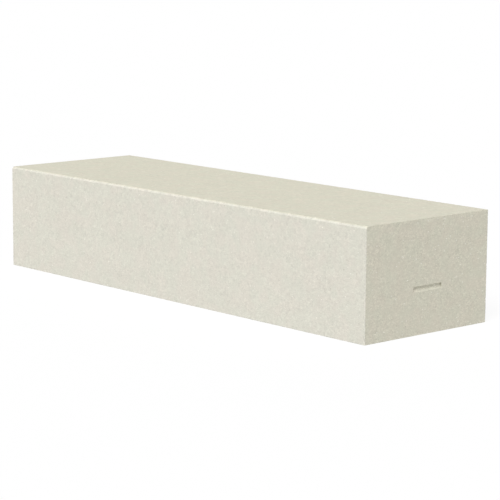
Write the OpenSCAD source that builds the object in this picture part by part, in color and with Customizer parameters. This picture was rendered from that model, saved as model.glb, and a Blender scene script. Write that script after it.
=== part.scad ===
// Precast concrete block step: one solid casting with a chamfered nosing along the
// front of its tread, and a shallow slot in each end for the jaws of a lifting clamp.
// Millimetres. The origin is the middle of the base. +X runs along the step, -Y is the
// front (the riser) and +Z is up.

/* [Block] */
// Length of the step, end to end
block_length = 1000; // [400:50:2000]
// Depth of the step, from riser to back
block_depth = 300; // [250:10:500]
// Height of the step, from base to tread
block_height = 200; // [150:10:250]

/* [Nosing] */
// Leg of the 45 degree chamfer along the front edge of the tread
nosing_chamfer = 4; // [2:0.5:15]

/* [Lifting slots] */
// Length of a slot's mouth, along the depth of the step
slot_length = 70; // [40:5:120]
// Height of a slot's mouth
slot_height = 10; // [8:0.5:20]
// From the base to the middle of a slot's mouth
slot_rise = 80; // [50:5:120]
// Depth of a slot, from the end face to its flat floor
slot_depth = 3; // [2:0.5:12]
// Height of the flat floor; below it the slot slopes out to the lower lip
floor_height = 4; // [2:0.5:5]
// From the upper lip down to the floor, the slope of the ledge that the jaw lifts on
ledge_drop = 0.5; // [0:0.25:2]
// How far each end wall leans in on its way to the floor
end_draft = 0.25; // [0:0.25:3]

/* [Hidden] */
concrete_colour = [0.84, 0.83, 0.77];
// A cutter runs this far out past the end face, so that no two faces coincide
cutter_overrun = 1;

// Section across the step, Y along the page and Z up it
module step_section() {
    riser_y = -block_depth / 2;
    back_y = block_depth / 2;
    polygon([
        [riser_y, 0],
        [back_y, 0],
        [back_y, block_height],
        [riser_y + nosing_chamfer, block_height],
        [riser_y, block_height - nosing_chamfer]
    ]);
}

// Upright section of a slot, X out of the end face and Y up, zero at the mouth's middle
module slot_section() {
    upper_lip = slot_height / 2;
    lower_lip = -slot_height / 2;
    floor_top = upper_lip - ledge_drop;
    polygon([
        [cutter_overrun, lower_lip],
        [cutter_overrun, upper_lip],
        [0, upper_lip],
        [-slot_depth, floor_top],
        [-slot_depth, floor_top - floor_height],
        [0, lower_lip]
    ]);
}

// Plan of a slot, X out of the end face and Y along the mouth
module slot_plan() {
    mouth_y = slot_length / 2;
    floor_y = mouth_y - end_draft;
    polygon([
        [cutter_overrun, -mouth_y],
        [cutter_overrun, mouth_y],
        [0, mouth_y],
        [-slot_depth, floor_y],
        [-slot_depth, -floor_y],
        [0, -mouth_y]
    ]);
}

// What one slot removes, its mouth lying in the plane X = 0
module slot_cutter() {
    intersection() {
        rotate([90, 0, 0])
            linear_extrude(height = slot_length + cutter_overrun, center = true)
                slot_section();
        linear_extrude(height = slot_height + cutter_overrun, center = true)
            slot_plan();
    }
}

module step_block() {
    color(concrete_colour)
        difference() {
            rotate([90, 0, 90])
                linear_extrude(height = block_length, center = true)
                    step_section();
            for (facing = [0, 180])
                rotate([0, 0, facing])
                    translate([block_length / 2, 0, slot_rise])
                        slot_cutter();
        }
}

step_block();
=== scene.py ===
import math
import random
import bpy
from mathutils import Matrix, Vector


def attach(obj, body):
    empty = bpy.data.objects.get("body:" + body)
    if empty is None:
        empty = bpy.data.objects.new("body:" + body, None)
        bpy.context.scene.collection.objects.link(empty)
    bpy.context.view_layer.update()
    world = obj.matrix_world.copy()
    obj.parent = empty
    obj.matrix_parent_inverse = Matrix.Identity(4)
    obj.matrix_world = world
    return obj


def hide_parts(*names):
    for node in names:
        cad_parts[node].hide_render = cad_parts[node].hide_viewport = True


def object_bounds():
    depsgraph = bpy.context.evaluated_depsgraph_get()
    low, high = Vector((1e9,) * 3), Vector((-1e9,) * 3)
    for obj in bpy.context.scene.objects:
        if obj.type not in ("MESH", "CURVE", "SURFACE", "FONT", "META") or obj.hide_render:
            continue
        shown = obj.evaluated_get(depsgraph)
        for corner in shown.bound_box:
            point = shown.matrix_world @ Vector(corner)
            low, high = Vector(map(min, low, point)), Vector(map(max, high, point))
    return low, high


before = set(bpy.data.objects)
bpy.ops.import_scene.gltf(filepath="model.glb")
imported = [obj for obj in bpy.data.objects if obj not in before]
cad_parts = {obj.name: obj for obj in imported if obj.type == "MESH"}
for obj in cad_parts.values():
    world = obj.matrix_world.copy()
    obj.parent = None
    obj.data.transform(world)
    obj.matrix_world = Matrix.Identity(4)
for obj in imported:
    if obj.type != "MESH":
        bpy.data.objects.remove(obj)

from types import SimpleNamespace

import bmesh
import bpy
from mathutils import Matrix, Vector, noise

# A precast concrete block step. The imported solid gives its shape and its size. This script
# cuts its surface into a fine grid, wears the arrises, lets the faces wander by less than
# 0.2 mm as cast faces do, and sinks small air holes into them.

MM = 0.001
CAD_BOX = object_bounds()
LOW = Vector(CAD_BOX[0])
HIGH = Vector(CAD_BOX[1])
AXES = (0, 1, 2)
LENGTH, DEPTH, UP = AXES
WHITE = (1, 1, 1, 1)
SEED = 7

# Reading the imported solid. An edge further than the margin from the arrises is a slot's.
MERGE_DISTANCE = 1e-6
FLAT_ANGLE = math.radians(1)
EDGE_ANGLE = math.radians(20)
LIP_MARGIN = 20 * MM
SLOPING = 0.1

# Rounding of the arrises and of the slots' lips, and the angle that is shaded as an edge
ARRIS_RADIUS = 0.5 * MM
LIP_RADIUS = 0.15 * MM
ROUNDING_STEPS = 2
SHARP_ANGLE = math.radians(38)
FLAT_FACES_WEIGHT = 100

# The grid that is cut into the surface: its pitch, its planes beside arrises and slots, and
# the strip along each arris that is cut crosswise as well
COARSE_PITCH = 10 * MM
ARRIS_STEPS = [step * MM for step in (0.9, 2.2, 4.0, 4.7, 6.0)]
LIP_STEPS = [step * MM for step in (0.5, 1.5, 3.0)]
ARRIS_STRIP = 6.0 * MM
STRIP_LIMIT = ARRIS_STRIP * 1.01
SHORTEST_RUN = ARRIS_STRIP / 4
ARRIS_CUTS = 5
ALONG_AXIS = 0.9

# Relief, always into the block. How worn a place is varies in patches, with smaller ones
# within them, about the worn share.
WANDER_DEPTH = 0.12 * MM
WANDER_SIZE = 70 * MM
RIPPLE_DEPTH = 0.05 * MM
RIPPLE_SIZE = 9 * MM
WEAR_SIZE = 14 * MM
ARRIS_WEAR = 0.6 * MM
ARRIS_WORN = 0.6
ARRIS_FINER = 4
NOSING_WEAR = 0.5 * MM
NOSING_WORN = 0.4
NOSING_FINER = 3

# Chips out of the arrises. The higher the shallowness, the fewer of them are deep.
CHIP_SPACING = 30 * MM
CHIP_TILT = 0.4
CHIP_DEPTH = (0.25 * MM, 1.1 * MM)
CHIP_SHALLOWNESS = 3
CHIP_RADIUS = (2.0 * MM, 5.0 * MM)
CHIP_REACH = 2 * max(CHIP_RADIUS)
CHIP_ROUGHNESS = 0.15 * MM
CHIP_GRAIN = 1.5 * MM

# Air holes, each where a bubble sat. The higher the smallness, the fewer of them are large.
# A bubble's middle is lifted off the skin by up to a share of its radius.
HOLES_PER_M2 = 500
HOLE_GAP = 6 * MM
HOLE_RADIUS = (0.3 * MM, 1.2 * MM)
HOLE_SMALLNESS = 3
HOLE_LIFT = 0.6
HOLE_STRETCH = (0.75, 1.3)
HOLE_ROUNDNESS = 2
LIFT_SEED = 3
TURN_SEED = 5
STRETCH_SEED = 9

# The concrete's grain. Waves are soft swells of the skin, as (size, height, change of tone).
# Sand is packed grains, as (spacing, reach in spacings, height, change of tone), whose
# outlines a noise makes ragged. Lying stretches the pattern, so that grains are longer along
# the block's depth.
WAVES = [(0.5 * MM, 0.06 * MM, 0.04), (1.3 * MM, 0.08 * MM, 0.04), (4.8 * MM, 0.15 * MM, 0.04),
         (11 * MM, 0.25 * MM, 0.02), (40 * MM, 0.0, 0.03)]
SAND = [(0.9 * MM, 0.70, 0.05 * MM, 0.045), (1.7 * MM, 0.70, 0.07 * MM, 0.06),
        (2.9 * MM, 0.65, 0.09 * MM, 0.07), (4.3 * MM, 0.65, 0.10 * MM, 0.07),
        (6.2 * MM, 0.70, 0.10 * MM, 0.07)]
SAND_SOFTNESS = 0.75
RAGGED = 0.9 * MM
RAGGED_SIZE = 2.2 * MM
LYING = (1.0, 0.75, 1.0)

# Gains make the grain stronger or weaker on the ends and on the tread, as (up to this size,
# change). On a speckled end a few grains are much paler and the rest a little darker. The
# grain is also stronger in some patches than in others.
END_GAINS = [(2 * MM, 0.6), (3.5 * MM, 1.7), (1.0, -0.4)]
TREAD_GAINS = [(4 * MM, -0.6), (1.0, 0.0)]
ENDS_SPECKLED = 1.5
PATCH_SIZE = 35 * MM
PATCH_CONTRAST = 1.6

# Odd grains are pale or dark, as (spacing, share of the grains, strength), and stand out or
# lie back by a height. Each reaches over a part of its spacing, and most show in full.
PALE_GRAINS = [(2.8 * MM, 0.10, 0.5), (3.6 * MM, 0.03, 0.95)]
DARK_GRAINS = [(2.3 * MM, 0.06, 0.3), (3.4 * MM, 0.008, 0.8)]
ODD_HEIGHT = 0.08 * MM
ODD_REACH = 0.35
ODD_IN_FULL = 0.7

# Colours. The paste is warm on the ends and the tread, and cooler on the long sides and on
# the nosing, whose paste the underside has too. The hue drifts a little.
WARM_PASTE = (0.680, 0.655, 0.543, 1)
COOL_PASTE = (0.688, 0.667, 0.584, 1)
TREAD_PASTE = (0.658, 0.635, 0.520, 1)
NOSING_PASTE = (0.672, 0.650, 0.567, 1)
DARK_SAND = (0.480, 0.455, 0.370, 1)
PALE_SAND = (0.900, 0.880, 0.800, 1)
ROSE = (1.010, 0.996, 1.000, 1)
GREEN = (0.990, 1.004, 1.000, 1)
HUE_SIZE = 28 * MM
HUE_SPREAD = 0.2
ROUGHNESS = 0.86
ROUGHNESS_CHANGE = 0.15
ROUGHNESS_SIZE = 2.3 * MM
SPECULAR = 0.35

# Bands say over which distances something fades in. A face's skin fades in over the depth
# below it, and an end's reaches past the floor of its slot.
FACE_BAND = (2.0 * MM, 0.8 * MM)
END_BAND = (4.5 * MM, 3.5 * MM)

# Near an arris, at a ragged distance, the skin is a little paler and less even, and fresh
# concrete shows in the chips
ARRIS_RAGGED = 4 * MM
ARRIS_RAGGED_SIZE = 3 * MM
ARRIS_PALER = 0.01
PALER_BAND = (2.5 * MM, 0.5 * MM)
ARRIS_SPECKLE = 0.40
SPECKLE_BAND = (7 * MM, 1 * MM)
SPECKLE_SIZE = 3 * MM
CHIP_SUNK_BAND = (0.4 * MM, 0.9 * MM)
CHIP_BAND = (8 * MM, 5 * MM)
FRESH_PALER = 0.09
FRESH_CHANGE = 0.28
FRESH_SIZE = 9 * MM

# Painted shade on the end walls of the slots, which are sunk into an end well inside its arrises
SLOT_PAINTED_SHADE = 0.2
SLOT_SUNK_BAND = (0.3 * MM, 1.0 * MM)
SLOT_INSET_BAND = (20 * MM, 30 * MM)
SLOT_SHADE_BAND = (3.0 * MM, 0.5 * MM)

# Camera
AIM = Vector((-0.1223, 0.1530, 0.0468))
CAMERA_DISTANCE = 4.0
CAMERA_AZIMUTH = 48.029
CAMERA_ELEVATION = 9.631
CAMERA_ROLL = 0.396
LENS_MM = 145.57
SENSOR_MM = 36
FARTHEST_SEEN = 100

# Light and floor. The floor is plain white, but for a share that is lit and shows a shadow.
# Its glow is how brightly it lights the block.
KEY_TOWARDS = Vector((0.300, -0.567, 0.768))
KEY_STRENGTH = 2.435
KEY_SOFTNESS = 32
FILL_TOWARDS = Vector((-0.650, 0.745, 0.150))
FILL_STRENGTH = 0.6
FILL_SOFTNESS = 40
SKY_STRENGTH = 0.3675
FLOOR_SIZE = 40
FLOOR_GAP = 0.02 * MM
FLOOR_GLOW = 0.873
SHADOW_SHARE = 0.10


# ---------------------------------------------------------------- node trees

# The places of sockets whose names a node uses more than once
MIX_FIRST, MIX_SECOND = 6, 7
MIX_RESULT = 2
RANDOM_LOW, RANDOM_HIGH = 2, 3
RANDOM_RESULT = 1


class Wire:
    """The output of a node, with arithmetic that adds Math nodes."""

    def __init__(self, tree, socket):
        self.tree = tree
        self.socket = socket

    def math(self, operation, *others):
        """A Math node on this value and the others."""
        return self.tree.math(operation, self, *others)

    def __add__(self, other):
        return self.math("ADD", other)

    def __sub__(self, other):
        return self.math("SUBTRACT", other)

    def __rsub__(self, other):
        return self.tree.math("SUBTRACT", other, self)

    def __mul__(self, other):
        return self.math("MULTIPLY", other)

    def __rtruediv__(self, other):
        return self.tree.math("DIVIDE", other, self)

    def __pow__(self, other):
        return self.math("POWER", other)

    __radd__ = __add__
    __rmul__ = __mul__


class Tree:
    """Adds nodes to a shader or geometry tree, one call each."""

    def __init__(self, tree):
        self.nodes = tree.nodes
        self.links = tree.links

    def node(self, kind, settings=None, values=None, output=0):
        """A node of one kind: its settings are made first, then its sockets' values or links."""
        made = self.nodes.new(kind)
        for name, setting in (settings or {}).items():
            setattr(made, name, setting)
        for socket, value in (values or {}).items():
            if isinstance(value, Wire):
                self.links.new(value.socket, made.inputs[socket])
            else:
                made.inputs[socket].default_value = value
        if isinstance(output, tuple):
            return [Wire(self, made.outputs[name]) for name in output]
        return Wire(self, made.outputs[output]) if made.outputs else made

    def math(self, operation, *values):
        """A Math node on values or wires, in their order."""
        return self.node("ShaderNodeMath", {"operation": operation}, dict(enumerate(values)))

    def ramp(self, value, low, high, start=0.0, end=1.0):
        """Smoothly from start, where value is low, to end, where it is high."""
        return self.node("ShaderNodeMapRange", {"interpolation_type": "SMOOTHSTEP"},
                         {"Value": value, "From Min": low, "From Max": high,
                          "To Min": start, "To Max": end})

    def blend(self, factor, first, second, mode="MIX"):
        """Mixes two colours."""
        return self.node("ShaderNodeMix", {"data_type": "RGBA", "blend_type": mode},
                         {"Factor": factor, MIX_FIRST: first, MIX_SECOND: second},
                         output=MIX_RESULT)

    def cloud(self, place, size, detail=0.0):
        """Noise about zero."""
        return self.node("ShaderNodeTexNoise", {"noise_dimensions": "3D"},
                         {"Vector": place, "Scale": 1 / size, "Detail": detail,
                          "Roughness": 0.5}, output=0) - 0.5

    def grains(self, place, size, radius, soft=0.5):
        """Grains: 1 inside one and 0 between them, and a lot that each grain draws."""
        away, colour = self.node("ShaderNodeTexVoronoi", {"feature": "F1"},
                                 {"Vector": place, "Scale": 1 / size},
                                 output=("Distance", "Color"))
        lot = self.node("ShaderNodeSeparateColor", None, {0: colour})
        return self.ramp(away, radius, radius * soft), lot

    def odd_grains(self, place, size, share):
        """1 on a share of the grains in a packing of that size, and 0 elsewhere."""
        grain, lot = self.grains(place, size, ODD_REACH)
        return grain * self.ramp(lot, 1 - share, 1 - share * ODD_IN_FULL)


# ---------------------------------------------------------------- mesh

def plain_solid():
    """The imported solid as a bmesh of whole, flat faces."""
    solid = bmesh.new()
    solid.from_mesh(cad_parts["step_block"].data)
    bmesh.ops.remove_doubles(solid, verts=solid.verts, dist=MERGE_DISTANCE)
    bmesh.ops.dissolve_limit(solid, angle_limit=FLAT_ANGLE, verts=solid.verts,
                             edges=solid.edges)
    return solid


def depth_in(point, axis):
    """How far a point lies from the nearer of the block's two sides along an axis."""
    return min(point[axis] - LOW[axis], HIGH[axis] - point[axis])


def middle(edge):
    """The point halfway along an edge."""
    return (edge.verts[0].co + edge.verts[1].co) / 2


def is_lip(edge):
    """Whether an edge belongs to a slot, which lies well inside an end."""
    return min(depth_in(middle(edge), DEPTH), depth_in(middle(edge), UP)) > LIP_MARGIN


def outward_edges(solid, at_lips):
    """The edges that stick out: those of the slots' lips, or else the arrises."""
    edges = [edge for edge in solid.edges
             if edge.is_convex and edge.calc_face_angle() > EDGE_ANGLE and is_lip(edge) == at_lips]
    return sorted(edges, key=lambda edge: tuple(middle(edge)))


def nosing_plane(solid):
    """The chamfer along the front of the tread, as (a point on it, its outward direction)."""
    sloping = [face for face in solid.faces
               if face.normal[UP] > SLOPING and face.normal[DEPTH] < -SLOPING]
    chamfer = max(sloping, key=lambda face: face.calc_area())
    return chamfer.calc_center_median(), chamfer.normal.copy()


def round_edges(solid, at_lips, radius):
    """Takes the sharpness off the outward edges, at the slots' lips or at the arrises."""
    edges = outward_edges(solid, at_lips)
    bmesh.ops.bevel(solid, geom=edges, offset=radius, offset_type="OFFSET",
                    segments=ROUNDING_STEPS, profile=0.5, affect="EDGES", clamp_overlap=True)


def slot_span(solid, axis):
    """The lowest and highest place of the slots' points along an axis."""
    places = [vert.co[axis] for vert in solid.verts
              if min(depth_in(vert.co, DEPTH), depth_in(vert.co, UP)) > LIP_MARGIN]
    return min(places), max(places)


def slot_wall():
    """How far from the middle of an end its slot's end walls stand."""
    solid = plain_solid()
    wall = slot_span(solid, DEPTH)[1]
    solid.free()
    return wall


def cut_places(solid, axis):
    """Where the grid's planes stand along an axis: close together near edges."""
    low, high = LOW[axis], HIGH[axis]
    count = round((high - low) / COARSE_PITCH)
    places = {low + (high - low) * i / count for i in range(1, count)}
    places = {place for place in places
              if place - low > ARRIS_STRIP and high - place > ARRIS_STRIP}
    for step in ARRIS_STEPS:
        places |= {low + step, high - step}
    if axis != LENGTH:
        first, last = slot_span(solid, axis)
        for step in LIP_STEPS:
            places |= {first - step, first + step, last - step, last + step}
    return sorted(places)


def cut_grid(solid):
    """Cuts every face along planes square to each axis."""
    planes = [(axis, place) for axis in AXES for place in cut_places(solid, axis)]
    for axis, place in planes:
        normal = Vector([float(axis == other) for other in AXES])
        everything = solid.verts[:] + solid.edges[:] + solid.faces[:]
        bmesh.ops.bisect_plane(solid, geom=everything, dist=MERGE_DISTANCE,
                               plane_co=normal * place, plane_no=normal)


def cut_strips(solid):
    """Cuts the strips beside each long arris crosswise, so that chips have a shape."""
    for axis in AXES:
        sides = [other for other in AXES if other != axis]
        along = []
        for edge in solid.edges:
            run = edge.verts[1].co - edge.verts[0].co
            if abs(run[axis]) < ALONG_AXIS * run.length or run.length < SHORTEST_RUN:
                continue
            if all(depth_in(middle(edge), side) <= STRIP_LIMIT for side in sides):
                along.append(edge)
        bmesh.ops.subdivide_edges(solid, edges=along, cuts=ARRIS_CUTS, use_grid_fill=True)


def chips(solid):
    """Small scoops broken out of the arrises, as (centre, radius) of the balls they fit."""
    dice = random.Random(SEED)
    found = []
    for edge in outward_edges(solid, at_lips=False):
        start, end = sorted((vert.co.copy() for vert in edge.verts), key=tuple)
        outwards = edge.link_faces[0].normal + edge.link_faces[1].normal
        for _ in range(round(edge.calc_length() / CHIP_SPACING)):
            place = start.lerp(end, dice.random())
            tilt = Vector([dice.uniform(-CHIP_TILT, CHIP_TILT) for _ in AXES])
            radius = dice.uniform(*CHIP_RADIUS)
            share = dice.random() ** CHIP_SHALLOWNESS
            depth = CHIP_DEPTH[0] + (CHIP_DEPTH[1] - CHIP_DEPTH[0]) * share
            found.append((place + (outwards + tilt).normalized() * (radius - depth), radius))
    return found


def scooped(point, balls):
    """The point, pushed back to the surface of any ball that it lies in."""
    for centre, radius in balls:
        away = point - centre
        if away.length_squared < radius * radius:
            rough = CHIP_ROUGHNESS * noise.noise(point / CHIP_GRAIN)
            point = centre + away.normalized() * (radius + abs(rough))
    return point


def wear_at(point, worn_share, finer):
    """How worn a place is, in patches and, half as much, in finer ones; 0 is unworn."""
    patch = noise.noise(point / WEAR_SIZE) + 0.5 * noise.noise(point / (WEAR_SIZE / finer))
    return max(0.0, worn_share + patch)


def worn(point):
    """The point on a block whose arrises are rounded off by a little more or less."""
    radius = ARRIS_RADIUS + ARRIS_WEAR * wear_at(point, ARRIS_WORN, ARRIS_FINER)
    inner = Vector([min(max(point[axis], LOW[axis] + radius), HIGH[axis] - radius)
                    for axis in AXES])
    away = point - inner
    return inner + away * (radius / away.length) if away.length > radius else point


def rubbed(point, nosing):
    """The point, pushed back to the nosing's chamfer as use has lowered it there."""
    place, outwards = nosing
    lowered = NOSING_WEAR * wear_at(point, NOSING_WORN, NOSING_FINER)
    over = (point - place).dot(outwards) + lowered
    return point - outwards * over if over > 0 else point


def relief(point):
    """How deep a cast face lies under its true plane at a point."""
    wander = 0.5 + 0.5 * noise.noise(point / WANDER_SIZE)
    ripple = 0.5 + 0.5 * noise.noise(point / RIPPLE_SIZE)
    return WANDER_DEPTH * wander + RIPPLE_DEPTH * ripple


def weather(solid, balls, nosing):
    """Moves every point inwards: wear, chips and the wander of the cast faces."""
    solid.normal_update()
    moved = []
    for vert in solid.verts:
        point = vert.co - vert.normal * relief(vert.co)
        nearest = sorted(depth_in(vert.co, axis) for axis in AXES)
        if nearest[1] < CHIP_REACH:
            near = [ball for ball in balls if (ball[0] - point).length < CHIP_REACH]
            point = scooped(rubbed(worn(point), nosing), near)
        moved.append(point)
    for vert, point in zip(solid.verts, moved):
        vert.co = point


def block_mesh():
    """The block's surface, cut fine and weathered, before its air holes."""
    solid = plain_solid()
    balls = chips(solid)
    nosing = nosing_plane(solid)
    round_edges(solid, at_lips=True, radius=LIP_RADIUS)
    round_edges(solid, at_lips=False, radius=ARRIS_RADIUS)
    cut_grid(solid)
    cut_strips(solid)
    weather(solid, balls, nosing)
    bmesh.ops.recalc_face_normals(solid, faces=solid.faces)
    mesh = bpy.data.meshes.new("step_block_cast")
    solid.to_mesh(mesh)
    solid.free()
    return mesh


def random_number(tree, low, high, seed):
    """A number from low to high for each point."""
    return tree.node("FunctionNodeRandomValue", {"data_type": "FLOAT"},
                     {RANDOM_LOW: low, RANDOM_HIGH: high, "Seed": seed},
                     output=RANDOM_RESULT)


def random_vector(tree, low, high, seed):
    """A vector for each point, each of its three parts from low to high."""
    return tree.node("FunctionNodeRandomValue", {"data_type": "FLOAT_VECTOR"},
                     {0: (low,) * 3, 1: (high,) * 3, "Seed": seed})


def scaled(tree, vector, factor):
    """A vector times a number."""
    return tree.node("ShaderNodeVectorMath", {"operation": "SCALE"},
                     {0: vector, "Scale": factor})


def bubbles(tree, block, density, gap, smallest, largest, seed):
    """Bubbles scattered over the block's skin, each turned and stretched its own way."""
    points, normal = tree.node("GeometryNodeDistributePointsOnFaces",
                               {"distribute_method": "POISSON"},
                               {"Mesh": block, "Distance Min": gap, "Density Max": density,
                                "Seed": seed}, output=("Points", "Normal"))
    lot = random_number(tree, 0.0, 1.0, seed)
    radius = smallest + (largest - smallest) * lot ** HOLE_SMALLNESS
    lift = random_number(tree, 0.0, HOLE_LIFT, LIFT_SEED)
    lifted = tree.node("GeometryNodeSetPosition", None,
                       {"Geometry": points, "Offset": scaled(tree, normal, radius * lift)})
    bubble = tree.node("GeometryNodeMeshIcoSphere", None,
                       {"Radius": 1.0, "Subdivisions": HOLE_ROUNDNESS})
    turn = tree.node("FunctionNodeEulerToRotation", None,
                     {0: random_vector(tree, 0, math.tau, TURN_SEED)})
    size = scaled(tree, random_vector(tree, *HOLE_STRETCH, STRETCH_SEED), radius)
    placed = tree.node("GeometryNodeInstanceOnPoints", None,
                       {"Points": lifted, "Instance": bubble, "Rotation": turn, "Scale": size})
    return tree.node("GeometryNodeRealizeInstances", None, {"Geometry": placed})


def air_hole_nodes(material):
    """A tree that sinks small round holes into a mesh, each where a bubble sat."""
    group = bpy.data.node_groups.new("air_holes", "GeometryNodeTree")
    sizes = ("Holes per square metre", "Least gap", "Smallest radius", "Largest radius")
    sockets = group.interface
    sockets.new_socket("Block", in_out="INPUT", socket_type="NodeSocketGeometry")
    for name in sizes:
        sockets.new_socket(name, in_out="INPUT", socket_type="NodeSocketFloat")
    sockets.new_socket("Seed", in_out="INPUT", socket_type="NodeSocketInt")
    sockets.new_socket("Block", in_out="OUTPUT", socket_type="NodeSocketGeometry")

    tree = Tree(group)
    block, *settings = tree.node("NodeGroupInput", output=("Block", *sizes, "Seed"))
    holed = tree.node("GeometryNodeMeshBoolean", {"operation": "DIFFERENCE", "solver": "MANIFOLD"},
                      {"Mesh 1": block, "Mesh 2": bubbles(tree, block, *settings)})
    joined = tree.node("GeometryNodeRealizeInstances", None, {"Geometry": holed})
    finished = tree.node("GeometryNodeSetMaterial", None,
                         {"Geometry": joined, "Material": material})
    tree.node("NodeGroupOutput", None, {"Block": finished})
    return group


def set_inputs(modifier, values):
    """Sets a Geometry Nodes modifier's inputs by their sockets' identifiers."""
    for item in modifier.node_group.interface.items_tree:
        if item.in_out == "INPUT" and item.name in values:
            modifier[item.identifier] = values[item.name]


def with_modifier(mesh, name, kind, prepare):
    """The mesh as a modifier leaves it, as a plain mesh of its own."""
    carrier = bpy.data.objects.new("carrier", mesh)
    bpy.context.scene.collection.objects.link(carrier)
    prepare(carrier.modifiers.new(name, kind))
    graph = bpy.context.evaluated_depsgraph_get()
    result = bpy.data.meshes.new_from_object(carrier.evaluated_get(graph))
    bpy.data.objects.remove(carrier)
    return result


def step_block(material):
    """The step as one plain mesh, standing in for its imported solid."""
    def sink_holes(modifier):
        """Gives a Geometry Nodes modifier the air holes' tree and sizes."""
        modifier.node_group = air_hole_nodes(material)
        set_inputs(modifier, {"Holes per square metre": float(HOLES_PER_M2),
                              "Least gap": HOLE_GAP,
                              "Smallest radius": HOLE_RADIUS[0],
                              "Largest radius": HOLE_RADIUS[1],
                              "Seed": SEED})

    def flatten_shading(modifier):
        """Makes a Weighted Normal modifier shade large faces as flat."""
        modifier.mode = "FACE_AREA"
        modifier.weight = FLAT_FACES_WEIGHT
        modifier.keep_sharp = True

    mesh = with_modifier(block_mesh(), "air_holes", "NODES", sink_holes)
    mesh.polygons.foreach_set("use_smooth", [True] * len(mesh.polygons))
    mesh.set_sharp_from_angle(angle=SHARP_ANGLE)
    mesh = with_modifier(mesh, "flat_faces", "WEIGHTED_NORMAL", flatten_shading)
    piece = bpy.data.objects.new("step_block_cast", mesh)
    bpy.context.scene.collection.objects.link(piece)
    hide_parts("step_block")
    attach(piece, "root")


# ---------------------------------------------------------------- materials

def new_material(name):
    """An empty material, and the tree that its nodes go into."""
    material = bpy.data.materials.new(name)
    material.use_nodes = True
    material.node_tree.nodes.clear()
    return material, Tree(material.node_tree)


def skin_places(tree):
    """Where a point of the skin lies, as distances and masks that the patterns share."""
    place = tree.node("ShaderNodeTexCoord", output="Object")
    x, y, z = tree.node("ShaderNodeSeparateXYZ", None, {0: place}, output=("X", "Y", "Z"))
    depths = [tree.math("MINIMUM", along - LOW[axis], HIGH[axis] - along)
              for axis, along in zip(AXES, (x, y, z))]
    lowest = tree.math("MINIMUM", tree.math("MINIMUM", depths[0], depths[1]), depths[2])
    highest = tree.math("MAXIMUM", tree.math("MAXIMUM", depths[0], depths[1]), depths[2])
    lying = tree.node("ShaderNodeVectorMath", {"operation": "MULTIPLY"}, {0: place, 1: LYING})
    return SimpleNamespace(
        place=place,
        lying=lying,
        y=y,
        sunk=lowest,
        from_arris=depths[0] + depths[1] + depths[2] - lowest - highest,
        at_end=tree.ramp(depths[LENGTH], *END_BAND),
        long_side=tree.ramp(depths[DEPTH], *FACE_BAND),
        tread=tree.ramp(HIGH[UP] - z, *FACE_BAND))


def gain(steps, size):
    """The change of strength for a grain of that size, from (largest size, change) steps."""
    return next(change for largest, change in steps if size <= largest)


def strength_at(skin, size):
    """How strong a grain of that size shows: 1, or more or less on an end or the tread."""
    return 1 + skin.at_end * gain(END_GAINS, size) + skin.tread * gain(TREAD_GAINS, size)


def swells_and_sand(tree, skin):
    """The grain of the skin, as its change of tone and its height."""
    tone = 0.0
    height = 0.0
    for size, rise, change in WAVES:
        wave = tree.cloud(skin.lying, size)
        height = wave * rise + height
        tone = wave * change * strength_at(skin, size) + tone
    nudge = tree.node("ShaderNodeTexNoise", None,
                      {"Vector": skin.lying, "Scale": 1 / RAGGED_SIZE, "Detail": 1.0},
                      output="Color")
    ragged = tree.node("ShaderNodeVectorMath", {"operation": "MULTIPLY_ADD"},
                       {0: nudge, 1: (RAGGED,) * 3, 2: skin.lying})
    power = 1 + skin.at_end * ENDS_SPECKLED
    usual = 1 / (power + 1)
    for size, reach, rise, change in SAND:
        inside, lot = tree.grains(ragged, size, reach, SAND_SOFTNESS)
        height = inside * lot * rise + height
        drawn = inside * (lot ** power - usual)
        tone = drawn * change * strength_at(skin, size) + tone
    return tone, height


def paste(tree, skin):
    """The cement paste: the nosing's and underside's, the ends', long sides' and tread's."""
    colour = tree.blend(skin.at_end, NOSING_PASTE, WARM_PASTE)
    colour = tree.blend(skin.long_side, colour, COOL_PASTE)
    return tree.blend(skin.tread, colour, TREAD_PASTE)


def with_odd_grains(tree, skin, colour, height):
    """The colour and height with dark and pale grains among the sand."""
    for odd, sand, rise in ((DARK_GRAINS, DARK_SAND, -ODD_HEIGHT),
                            (PALE_GRAINS, PALE_SAND, ODD_HEIGHT)):
        for size, share, strength in odd:
            mask = tree.odd_grains(skin.lying, size, share)
            colour = tree.blend(mask * strength, colour, sand)
            height = mask * rise + height
    return colour, height


def arris_tone(tree, skin):
    """1 on plain skin; near an arris paler and uneven, and paler still in its chips."""
    raggedly = tree.cloud(skin.place, ARRIS_RAGGED_SIZE, 2.0) * ARRIS_RAGGED
    away = skin.from_arris + raggedly
    paler = tree.ramp(away, *PALER_BAND) * ARRIS_PALER
    uneven = tree.cloud(skin.place, SPECKLE_SIZE, 1.0)
    speckle = tree.ramp(away, *SPECKLE_BAND) * uneven * ARRIS_SPECKLE
    in_chip = tree.ramp(skin.sunk, *CHIP_SUNK_BAND) * tree.ramp(skin.from_arris, *CHIP_BAND)
    fresh = FRESH_PALER + tree.cloud(skin.place, FRESH_SIZE, 1.0) * FRESH_CHANGE
    return 1 + paler + speckle + in_chip * fresh


def slot_painted_shade(tree, skin):
    """How much painted shade darkens the end walls of the slots, and 0 elsewhere."""
    sunk = tree.ramp(skin.sunk, *SLOT_SUNK_BAND)
    in_slot = skin.at_end * sunk * tree.ramp(skin.from_arris, *SLOT_INSET_BAND)
    from_wall = tree.math("ABSOLUTE", tree.math("ABSOLUTE", skin.y) - slot_wall())
    return in_slot * tree.ramp(from_wall, *SLOT_SHADE_BAND) * SLOT_PAINTED_SHADE


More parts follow.
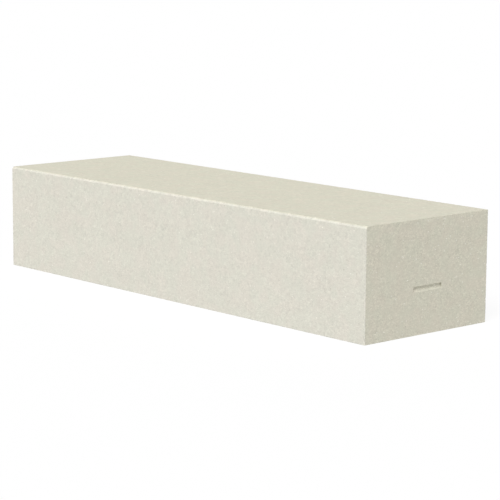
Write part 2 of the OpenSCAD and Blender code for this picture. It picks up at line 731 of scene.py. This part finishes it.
def cast_concrete():
    """Pale warm grey precast concrete: cement skin over fine sand."""
    material, tree = new_material("cast_concrete")
    skin = skin_places(tree)
    grain, height = swells_and_sand(tree, skin)
    colour, height = with_odd_grains(tree, skin, paste(tree, skin), height)
    hue = tree.ramp(tree.cloud(skin.place, HUE_SIZE, 1.0), -HUE_SPREAD, HUE_SPREAD)
    colour = tree.blend(1.0, colour, tree.blend(hue, GREEN, ROSE), "MULTIPLY")
    patchy = 1 + tree.cloud(skin.place, PATCH_SIZE, 1.0) * PATCH_CONTRAST
    # The slots' end walls are darkened here by painted shade.
    tone = arris_tone(tree, skin) + grain * patchy - slot_painted_shade(tree, skin)
    shade = tree.node("ShaderNodeCombineColor", None, {0: tone, 1: tone, 2: tone})
    colour = tree.blend(1.0, colour, shade, "MULTIPLY")
    bump = tree.node("ShaderNodeBump", None,
                     {"Strength": 1.0, "Distance": 1.0, "Height": height})
    roughness = ROUGHNESS + tree.cloud(skin.place, ROUGHNESS_SIZE) * ROUGHNESS_CHANGE
    shader = tree.node("ShaderNodeBsdfPrincipled", None,
                       {"Base Color": colour, "Roughness": roughness,
                        "Normal": bump, "Specular IOR Level": SPECULAR})
    tree.node("ShaderNodeOutputMaterial", None, {"Surface": shader})
    return material


def seen_directly(tree):
    """1 for what the camera sees, straight or by a reflection or through glass."""
    camera, glossy, transmission = tree.node(
        "ShaderNodeLightPath", output=("Is Camera Ray", "Is Glossy Ray", "Is Transmission Ray"))
    return tree.math("MAXIMUM", tree.math("MAXIMUM", camera, glossy), transmission)


def floor_paper():
    """White studio paper. It shows the block's shadow faintly, and lights it evenly."""
    material, tree = new_material("floor_paper")
    lit = tree.node("ShaderNodeBsdfDiffuse", None, {"Color": WHITE})
    white = tree.node("ShaderNodeEmission", None, {"Color": WHITE, "Strength": 1.0})
    glow = tree.node("ShaderNodeEmission", None, {"Color": WHITE, "Strength": FLOOR_GLOW})
    shown = tree.node("ShaderNodeMixShader", None, {0: SHADOW_SHARE, 1: white, 2: lit})
    shader = tree.node("ShaderNodeMixShader", None, {0: seen_directly(tree), 1: glow, 2: shown})
    tree.node("ShaderNodeOutputMaterial", None, {"Surface": shader})
    return material


# ---------------------------------------------------------------- studio

def studio_floor():
    """Level paper, just below the block's base."""
    bpy.ops.mesh.primitive_plane_add(size=FLOOR_SIZE, location=(0, 0, LOW[UP] - FLOOR_GAP))
    floor = bpy.context.object
    floor.name = "studio_floor"
    floor.data.materials.append(floor_paper())


def sun(name, towards, strength, softness):
    """A far lamp, as wide in the sky as softness in degrees."""
    lamp = bpy.data.lights.new(name, "SUN")
    lamp.energy = strength
    lamp.angle = math.radians(softness)
    holder = bpy.data.objects.new(name, lamp)
    holder.rotation_mode = "QUATERNION"
    holder.rotation_quaternion = towards.to_track_quat("Z", "Y")
    bpy.context.scene.collection.objects.link(holder)


def studio_light():
    """A soft key from the front, a weak fill from behind, and an even sky."""
    sun("key", KEY_TOWARDS, KEY_STRENGTH, KEY_SOFTNESS)
    sun("fill", FILL_TOWARDS, FILL_STRENGTH, FILL_SOFTNESS)
    world = bpy.data.worlds.new("studio")
    world.use_nodes = True
    world.node_tree.nodes.clear()
    tree = Tree(world.node_tree)
    strength = tree.ramp(seen_directly(tree), 0, 1, SKY_STRENGTH, 1.0)
    sky = tree.node("ShaderNodeBackground", None, {"Color": WHITE, "Strength": strength})
    tree.node("ShaderNodeOutputWorld", None, {"Surface": sky})
    bpy.context.scene.world = world


def studio_camera():
    """A long lens that looks at the block's front, tread and right end."""
    lens = bpy.data.cameras.new("camera")
    lens.sensor_width = SENSOR_MM
    lens.lens = LENS_MM
    lens.clip_end = FARTHEST_SEEN
    turn = (Matrix.Rotation(math.radians(CAMERA_AZIMUTH), 4, "Z")
            @ Matrix.Rotation(math.radians(90 - CAMERA_ELEVATION), 4, "X")
            @ Matrix.Rotation(math.radians(CAMERA_ROLL), 4, "Z"))
    camera = bpy.data.objects.new("camera", lens)
    camera.matrix_world = (Matrix.Translation(AIM) @ turn
                           @ Matrix.Translation((0, 0, CAMERA_DISTANCE)))
    bpy.context.scene.collection.objects.link(camera)
    bpy.context.scene.camera = camera


studio_camera()
studio_light()
studio_floor()
step_block(cast_concrete())
bpy.context.scene.view_settings.view_transform = "Standard"
